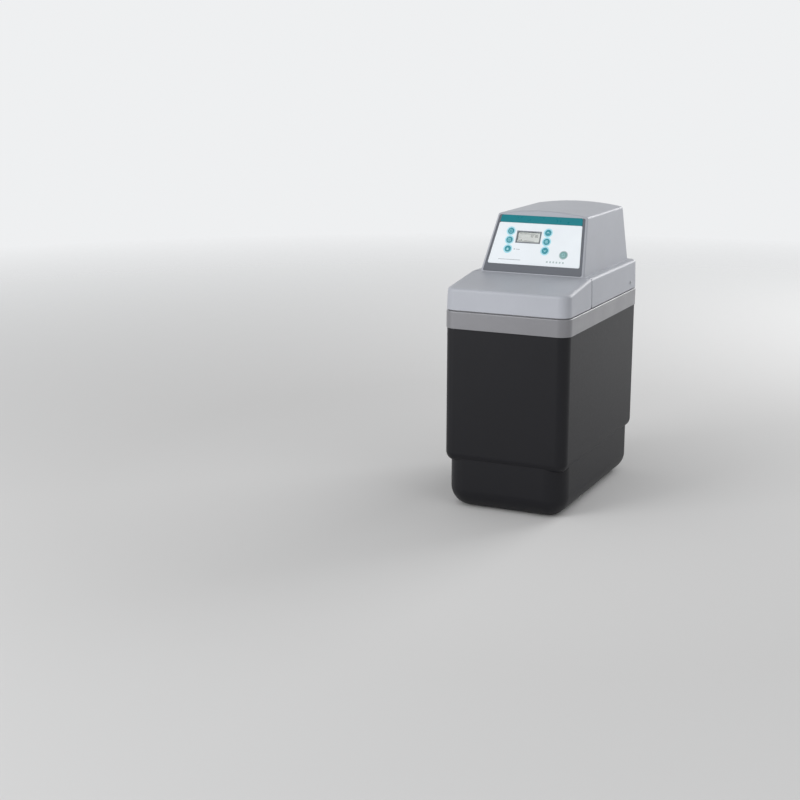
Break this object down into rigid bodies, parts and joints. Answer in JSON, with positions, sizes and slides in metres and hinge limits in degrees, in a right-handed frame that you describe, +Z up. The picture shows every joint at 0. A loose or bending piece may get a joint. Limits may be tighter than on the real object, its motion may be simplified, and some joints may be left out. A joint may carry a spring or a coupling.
{
  "type": "water softener",
  "caption": "Compact cabinet water softener: salt bin with a hinged lid, resin tank, motor-driven control valve under a hood with a sloping key panel, and a bypass valve behind.",
  "frame": {"origin": "on the floor, at the middle of the cabinet's footprint", "axes": "+X to the right seen from the front, +Y to the back, +Z up"},
  "size_m": [0.2406, 0.495, 0.538],
  "materials": {
    "anthracite_shell": "fine moulded grain, satin",
    "grey_band": "satin",
    "pale_cover": "fine grain, satin",
    "white_fascia": "printed film, semi-gloss",
    "teal_strip": "semi-gloss",
    "dark_trim": "satin",
    "clear_window": "clear",
    "display_glass": "display",
    "teal_key": "soft satin",
    "green_key": "soft satin",
    "circuit_board": "solder mask",
    "black_plastic": "satin",
    "steel": "zinc plated",
    "tank_wrap": "filament wound",
    "resin_beads": "wet beads",
    "white_plastic": "satin",
    "valve_black": "glass filled, satin",
    "seal_rubber": "matt",
    "ceramic": "lapped",
    "grey_plastic": "satin",
    "plated_sheet": "zinc plated",
    "motor_case": "plated",
    "brass_gear": "machined",
    "nylon_gear": "natural nylon",
    "red_plastic": "satin",
    "float_foam": "foam",
    "clear_tube": "translucent",
    "grey_bezel": "satin",
    "icon_print": "screen print",
    "halo_print": "screen print",
    "panel_ink": "screen print",
    "tint_print": "screen print",
    "display_ink": "display segments"
  },
  "bodies": {
    "softener": {"cabinet_shell": "anthracite_shell", "band_front": "grey_band", "band_rear": "grey_band", "lid_hinge_pins": "steel", "valve_hood": "pale_cover", "hood_screws": "steel", "panel_bezel": "grey_bezel", "fascia": "white_fascia", "header_strip": "teal_strip", "display_frame": "dark_trim", "display_window": "clear_window", "display_module": "display_glass", "control_board": "circuit_board", "board_parts": "black_plastic", "board_screws": "steel", "power_socket": "black_plastic", "resin_tank": "tank_wrap", "tank_boot": "black_plastic", "resin_bed": "resin_beads", "riser_tube": "white_plastic", "lower_strainer": "white_plastic", "upper_strainer": "white_plastic", "valve_body": "valve_black", "neck_seal": "seal_rubber", "fixed_disc": "ceramic", "valve_bonnet": "valve_black", "bonnet_screws": "steel", "drive_plate": "plated_sheet", "drive_motor": "motor_case", "injector_cap": "grey_plastic", "brine_elbow": "grey_plastic", "drain_spigot": "grey_plastic", "turbine_supports": "grey_plastic", "bypass_body": "valve_black", "bypass_clips": "red_plastic", "brine_well": "white_plastic", "brine_well_cap": "white_plastic", "brine_valve": "grey_plastic", "brine_tube": "clear_tube", "salt_grid": "white_plastic", "overflow_spigot": "grey_plastic", "overflow_nut": "grey_plastic"},
    "lid": {"salt_lid": "pale_cover"},
    "key_clock_cap": {"key_clock": "teal_key"},
    "key_days_cap": {"key_days": "teal_key"},
    "key_lock_cap": {"key_lock": "teal_key"},
    "key_up_cap": {"key_up": "teal_key"},
    "key_set_cap": {"key_set": "teal_key"},
    "key_down_cap": {"key_down": "teal_key"},
    "key_regenerate_cap": {"key_regenerate": "green_key"},
    "bypass_inlet": {"bypass_plug_in": "white_plastic", "bypass_handle_in": "red_plastic"},
    "bypass_outlet": {"bypass_plug_out": "white_plastic", "bypass_handle_out": "red_plastic"},
    "valve_drive": {"drive_gear": "nylon_gear", "valve_shaft": "grey_plastic", "moving_disc": "ceramic"},
    "pinion": {"motor_pinion": "brass_gear"},
    "turbine": {"flow_turbine": "white_plastic"},
    "float": {"float_rod": "nylon_gear", "safety_float": "float_foam"}
  },
  "joints": [
    {"name": "lid_hinge", "type": "hinge", "parent": "softener", "child": "lid", "pos_m": [0, -0.096, 0.418], "axis": [-1, 0, 0], "range_deg": [0, 100]},
    {"name": "key_clock_press", "type": "slide", "parent": "softener", "child": "key_clock_cap", "axis": [0, 0.887, -0.4617], "range_m": [0, 0.0007], "stiffness_N_per_m": 1500},
    {"name": "key_days_press", "type": "slide", "parent": "softener", "child": "key_days_cap", "axis": [0, 0.887, -0.4617], "range_m": [0, 0.0007], "stiffness_N_per_m": 1500},
    {"name": "key_lock_press", "type": "slide", "parent": "softener", "child": "key_lock_cap", "axis": [0, 0.887, -0.4617], "range_m": [0, 0.0007], "stiffness_N_per_m": 1500},
    {"name": "key_up_press", "type": "slide", "parent": "softener", "child": "key_up_cap", "axis": [0, 0.887, -0.4617], "range_m": [0, 0.0007], "stiffness_N_per_m": 1500},
    {"name": "key_set_press", "type": "slide", "parent": "softener", "child": "key_set_cap", "axis": [0, 0.887, -0.4617], "range_m": [0, 0.0007], "stiffness_N_per_m": 1500},
    {"name": "key_down_press", "type": "slide", "parent": "softener", "child": "key_down_cap", "axis": [0, 0.887, -0.4617], "range_m": [0, 0.0007], "stiffness_N_per_m": 1500},
    {"name": "key_regenerate_press", "type": "slide", "parent": "softener", "child": "key_regenerate_cap", "axis": [0, 0.887, -0.4617], "range_m": [0, 0.0007], "stiffness_N_per_m": 1500},
    {"name": "bypass_inlet_turn", "type": "hinge", "parent": "softener", "child": "bypass_inlet", "pos_m": [-0.027, 0.242, 0.447], "axis": [0, 0, 1], "range_deg": [0, 90]},
    {"name": "bypass_outlet_turn", "type": "hinge", "parent": "softener", "child": "bypass_outlet", "pos_m": [0.027, 0.242, 0.447], "axis": [0, 0, 1], "range_deg": [0, 90]},
    {"name": "valve_drive_spin", "type": "hinge", "parent": "softener", "child": "valve_drive", "pos_m": [0, 0.1035, 0.447], "axis": [0, 0, 1], "continuous": true},
    {"name": "pinion_spin", "type": "hinge", "parent": "softener", "child": "pinion", "pos_m": [0, 0.045, 0.447], "axis": [0, 0, 1], "continuous": true},
    {"name": "turbine_spin", "type": "hinge", "parent": "softener", "child": "turbine", "pos_m": [0.027, 0.1595, 0.447], "axis": [0, 1, 0], "continuous": true},
    {"name": "float_rise", "type": "slide", "parent": "softener", "child": "float", "axis": [0, 0, 1], "range_m": [0, 0.02]}
  ],
  "couplings": [
    {"joint": "pinion_spin", "follows": "valve_drive_spin", "ratio": -3.3333}
  ]
}
